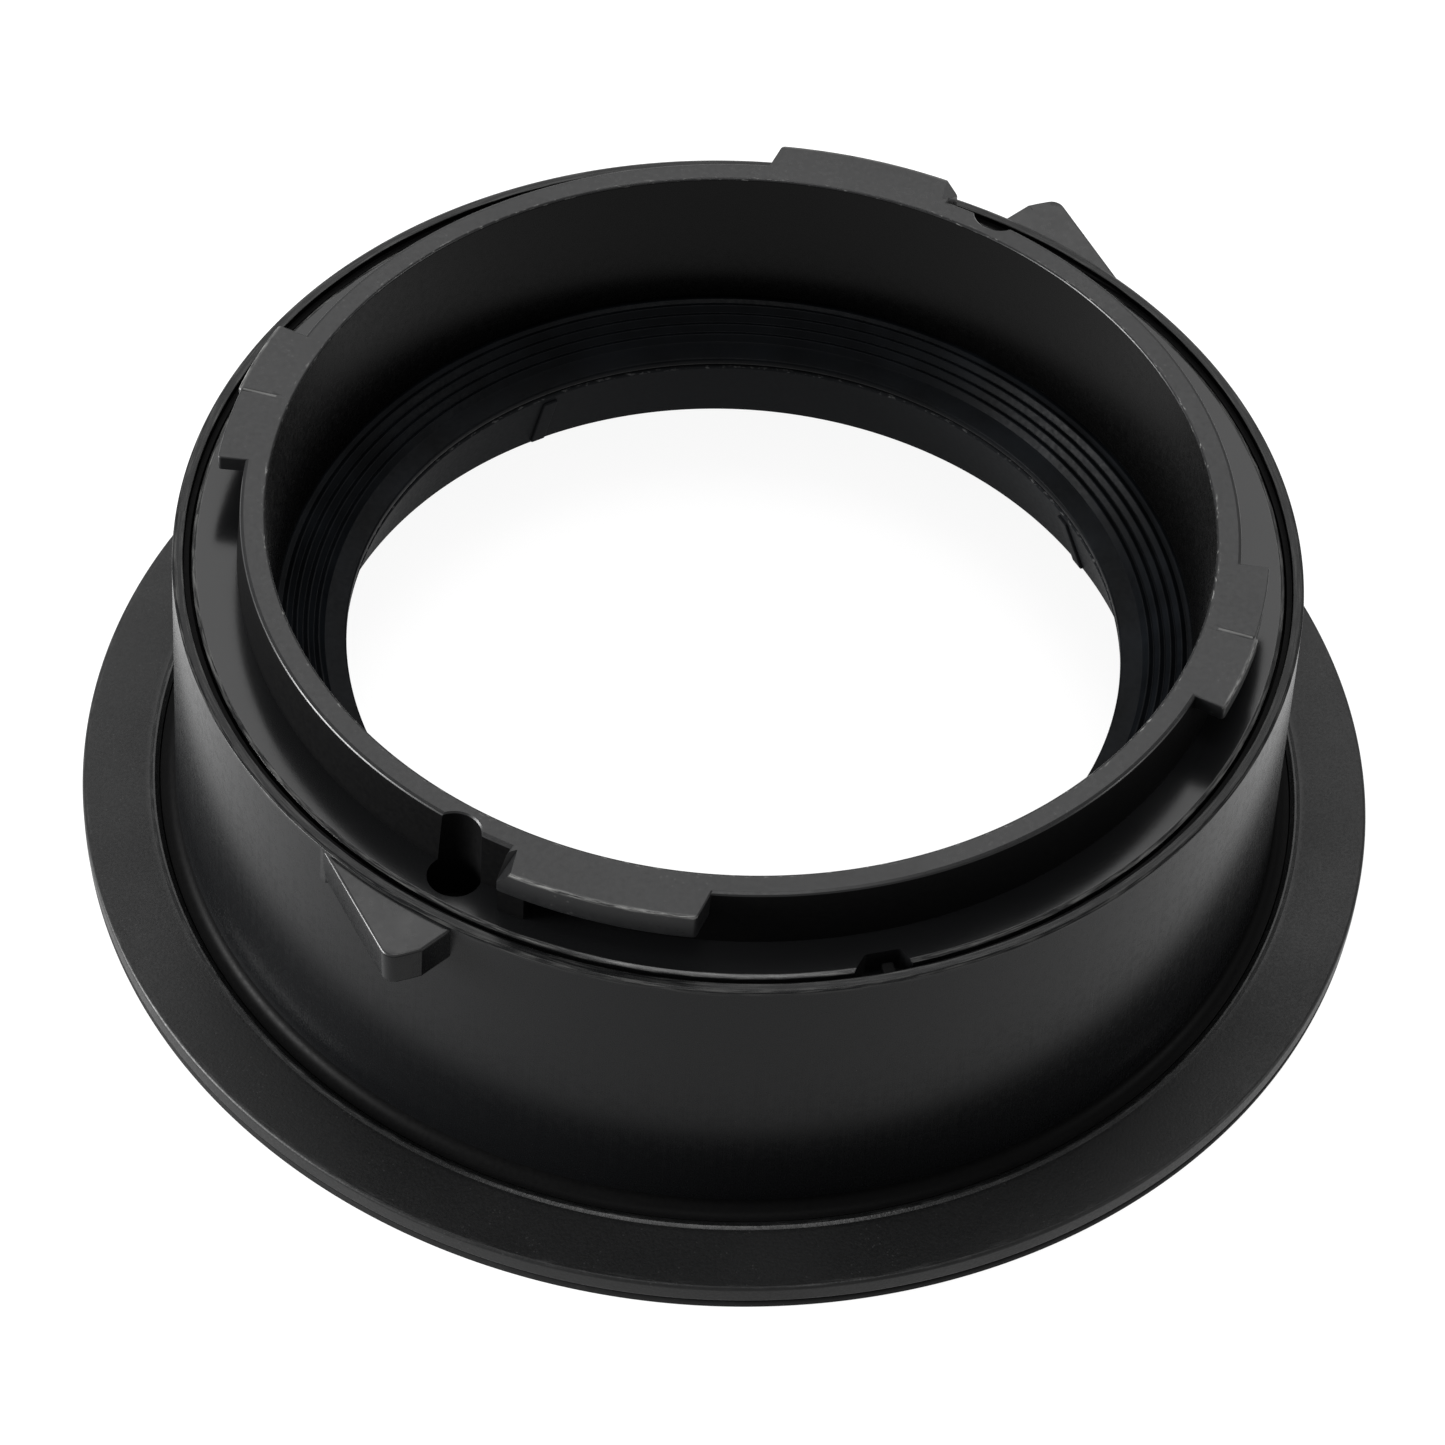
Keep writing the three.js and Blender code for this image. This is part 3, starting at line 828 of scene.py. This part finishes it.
def index_notch():
    """The notch in the shelf's rim that takes the hub's key; its mouth is wider than its floor."""
    outer = SHELF_RADIUS + 1.5
    mouth = SHELF_RADIUS - 0.1
    floor = SHELF_RADIUS - 2.5
    corners = []
    for radius, angle, round_by in (
        (outer, -3.75, 0),
        (outer, 2.65, 0),
        (mouth, 2.45, 0),
        (floor, 1.8, 0.9),
        (floor, -2.0, 0.9),
        (mouth, -3.5, 0),
    ):
        point = polar(radius, INDEX_ANGLE + angle)
        corners.append((point.x, point.y, round_by))
    return extruded("notch", rounded(corners, steps=6), SEAT_LEDGE - 1, SHELF_TOP + 1)


def tab_window(tab_angle):
    """An L-shaped window in the socket: the run a tab slides in, and its way in from below."""
    inner = SOCKET_RADIUS - 1
    outer = SOCKET_OUTER + 1
    play = 0.5
    reach = TAB_HALF_SPAN + play
    entry = tab_angle - UNLOCK_TURN
    run = sector_outline(inner, outer, entry - reach, tab_angle + reach)
    way_in = sector_outline(inner, outer, entry - reach, entry + reach)
    window = extruded("window", run, TAB_BOTTOM - RUNNING_GAP, TAB_TOP + RUNNING_GAP)
    return combine(window, [extruded("way_in", way_in, SOCKET_FOOT - 1, TAB_TOP)], "UNION")


def bayonet_collar():
    """The insert: shelf, collar, lugs and keyholes above, and the socket for seal and ring."""
    section = rounded([
        (SOCKET_RADIUS, SOCKET_FOOT, 0.4),
        (SOCKET_OUTER, SOCKET_FOOT, 0.4),
        (SOCKET_OUTER, PILOT_FOOT, 0.3),
        (PILOT_RADIUS, PILOT_FOOT, 0.5),
        (PILOT_RADIUS, RING_GROOVE_BOTTOM, 0.2),
        (RING_GROOVE_RADIUS, RING_GROOVE_BOTTOM, 0.2),
        (RING_GROOVE_RADIUS, RING_GROOVE_TOP, 0.2),
        (PILOT_RADIUS, RING_GROOVE_TOP, 0.2),
        (PILOT_RADIUS, SEAT_LEDGE + GAP, 0.2),
        (SHELF_RADIUS, SEAT_LEDGE + GAP, 0.3),
        (SHELF_RADIUS, SHELF_TOP - 0.24, 0.12),
        (SHELF_RADIUS - 0.55, SHELF_TOP, 0.25),
        (COLLAR_RADIUS + 0.62, SHELF_TOP - SHELF_DISH, 0),
        (COLLAR_RADIUS, COLLAR_TOP - 0.32, 0.12),
        (COLLAR_RADIUS - 0.12, COLLAR_TOP - 0.14, 0.12),
        (COLLAR_RADIUS - 0.5, COLLAR_TOP, 0.15),
        (THROAT_RADIUS, COLLAR_TOP, 0.4),
        (THROAT_RADIUS - 0.8, SOCKET_SHOULDER, 0.5),
        (SOCKET_RADIUS, SOCKET_SHOULDER, 0.3),
    ], steps=5)
    body = turned("collar", section)
    lugs = [lock_lug(centre) for centre in LOCK_LUG_CENTRES]
    lugs += [side_lug(centre) for centre in SIDE_LUG_CENTRES]
    combine(body, lugs, "UNION")
    cuts = [keyhole(angle) for angle in KEYHOLE_ANGLES]
    cuts.append(index_notch())
    cuts += [tab_window(angle) for angle in RETAINER_TAB_ANGLES]
    combine(body, cuts, "DIFFERENCE")
    place(body, "bayonet_collar", [collar_finish(), painted_shade_finish(), throat_shade_finish()],
          collar_choice)


def collar_o_ring():
    """The hidden seal in the insert's groove."""
    section_radius = 1.1
    steps = 24
    centre = Vector((RING_GROOVE_RADIUS + GAP + section_radius,
                     (RING_GROOVE_BOTTOM + RING_GROOVE_TOP) / 2))
    section = [centre + polar(section_radius, 360 * i / steps) for i in range(steps)]
    place(turned("o_ring", section), "collar_o_ring", [gasket_finish()])


LIP_RADIUS = 52.4
LIP_HEIGHT = 29.8
RETAINER_RADIUS = SOCKET_RADIUS - RUNNING_GAP
RETAINER_TOP = 29.9
CONE_TOP = LIP_HEIGHT - 1.2
CONE_TOP_OUTER = 61.8
CONE_FOOT = 15.4
CONE_FOOT_RADIUS = 57.0


def throat_seal():
    """A rubber ring whose sloping face carries four ridges and ends in a smooth rounded lip."""
    ridges = 4
    ridge_pitch = 1.45
    ridge_height = 0.75
    outer_ridge = 60.4
    slope = 0.33
    seat = SOCKET_RADIUS - GAP
    seat_bottom = RETAINER_TOP + GAP
    lip_bottom = LIP_HEIGHT - 0.8

    def face_height(r):
        return LIP_HEIGHT + 0.05 + (r - LIP_RADIUS) * slope

    corners = [
        (LIP_RADIUS, lip_bottom, 0.5),
        (LIP_RADIUS + 3.0, lip_bottom, 0.2),
        (CONE_TOP_OUTER - 0.2, seat_bottom, 0.2),
        (seat, seat_bottom, 0.3),
        (seat, SOCKET_SHOULDER - GAP, 0.3),
        (THROAT_RADIUS - 0.9, SOCKET_SHOULDER - GAP, 0.2),
        (outer_ridge + ridge_pitch / 2, face_height(outer_ridge + ridge_pitch / 2), 0.2),
    ]
    for i in range(ridges):
        crest = outer_ridge - i * ridge_pitch
        valley = crest - ridge_pitch / 2
        corners.append((crest, face_height(crest) + ridge_height, 0.22))
        corners.append((valley, face_height(valley), 0.15))
    corners += [
        (LIP_RADIUS + 2.3, LIP_HEIGHT + 0.9, 0.3),
        (LIP_RADIUS, LIP_HEIGHT + 0.45, 0.35),
    ]
    place(turned("seal", rounded(corners, steps=4)), "throat_seal", [seal_finish()])


def grip_rib(angle):
    """A shallow upright rib on the cone's inner face, following its slope."""
    half_width = 1.1
    profile = (
        (LIP_RADIUS + 0.1, CONE_TOP - 1.6),
        (LIP_RADIUS + 1.6, CONE_TOP - 1.6),
        (CONE_FOOT_RADIUS + 0.8, CONE_FOOT + 0.6),
        (CONE_FOOT_RADIUS - 0.7, CONE_FOOT + 0.6),
    )
    bm = bmesh.new()
    near = [bm.verts.new((r * MM, -half_width * MM, z * MM)) for r, z in profile]
    far = [bm.verts.new((r * MM, half_width * MM, z * MM)) for r, z in profile]
    bm.faces.new(near)
    bm.faces.new(list(reversed(far)))
    for i in range(4):
        j = (i + 1) % 4
        bm.faces.new((near[i], near[j], far[j], far[i]))
    round_edges(bm, 0.2)
    rib = new_object("rib", bm)
    rib.data.transform(Matrix.Rotation(math.radians(angle), 4, "Z"))
    return rib


def retaining_ring():
    """The cone-shaped ring that clamps the seal from below, with its tabs and grip ribs."""
    section = rounded([
        (CONE_FOOT_RADIUS, CONE_FOOT, 0.4),
        (RETAINER_RADIUS, SOCKET_FOOT + 1.5, 0.5),
        (RETAINER_RADIUS, RETAINER_TOP, 0.2),
        (CONE_TOP_OUTER, RETAINER_TOP, 0.2),
        (LIP_RADIUS + 3.2, CONE_TOP, 0.3),
        (LIP_RADIUS, CONE_TOP, 0.35),
    ], steps=5)
    body = turned("retainer", section)
    added = [grip_rib(angle) for angle in GRIP_RIB_ANGLES]
    for angle in RETAINER_TAB_ANGLES:
        start = angle - TAB_HALF_SPAN
        end = angle + TAB_HALF_SPAN
        outline = sector_outline(RETAINER_RADIUS - 1, SOCKET_OUTER - GAP, start, end)
        added.append(extruded("tab", outline, TAB_BOTTOM, TAB_TOP, edge=0.25))
    place(combine(body, added, "UNION"), "retaining_ring", [retainer_finish()])


# ---- stage and light ------------------------------------------------------------------------


def make_floor():
    """The white ground, which also gives off light, as in a cut-out product photo."""
    bm = bmesh.new()
    half = 3.0
    height = -0.0002
    corners = ((-half, -half), (half, -half), (half, half), (-half, half))
    bm.faces.new([bm.verts.new((x, y, height)) for x, y in corners])
    floor = new_object("floor", bm)
    material = bpy.data.materials.new("floor_white")
    material.use_nodes = True
    shader = material.node_tree.nodes["Principled BSDF"]
    shader.inputs["Base Color"].default_value = (0.14, 0.14, 0.14, 1)
    shader.inputs["Roughness"].default_value = 0.9
    shader.inputs["Specular IOR Level"].default_value = 0.0
    shader.inputs["Emission Color"].default_value = (1, 1, 1, 1)
    shader.inputs["Emission Strength"].default_value = 0.92
    floor.data.materials.append(material)


def soft_box(name, azimuth, elevation, distance, width, height, radiance):
    """A soft box that faces the object. Its power is set from the radiance of its face."""
    data = bpy.data.lights.new(name, "AREA")
    data.shape = "RECTANGLE"
    data.size = width
    data.size_y = height
    data.energy = radiance * math.pi * width * height
    lamp = bpy.data.objects.new(name, data)
    bpy.context.scene.collection.objects.link(lamp)
    a = math.radians(azimuth)
    e = math.radians(elevation)
    way = Vector((math.cos(a) * math.cos(e), math.sin(a) * math.cos(e), math.sin(e)))
    target = Vector((0, 0, 0.03))
    lamp.location = target + way * distance
    lamp.rotation_mode = "QUATERNION"
    lamp.rotation_quaternion = (-way).to_track_quat("-Z", "Y")


def make_light():
    world = bpy.data.worlds.new("studio")
    bpy.context.scene.world = world
    world.use_nodes = True
    shade = world.node_tree.nodes["Background"]
    shade.inputs["Color"].default_value = (1.0, 1.0, 1.0, 1)
    shade.inputs["Strength"].default_value = 0.87
    soft_box("back_box", 90, 53, 1.6, 1.8, 0.9, 3.3)
    soft_box("top_box", -90, 84, 1.5, 0.6, 0.5, 8.0)
    soft_box("left_box", 189, 10, 1.3, 0.6, 0.6, 66.0)
    soft_box("right_box", -8, 12, 1.5, 0.22, 0.8, 12.0)
    bpy.context.scene.view_settings.view_transform = "Standard"


make_camera()
flange_ring()
base_gasket()
hub()
bayonet_collar()
collar_o_ring()
throat_seal()
retaining_ring()
make_floor()
make_light()
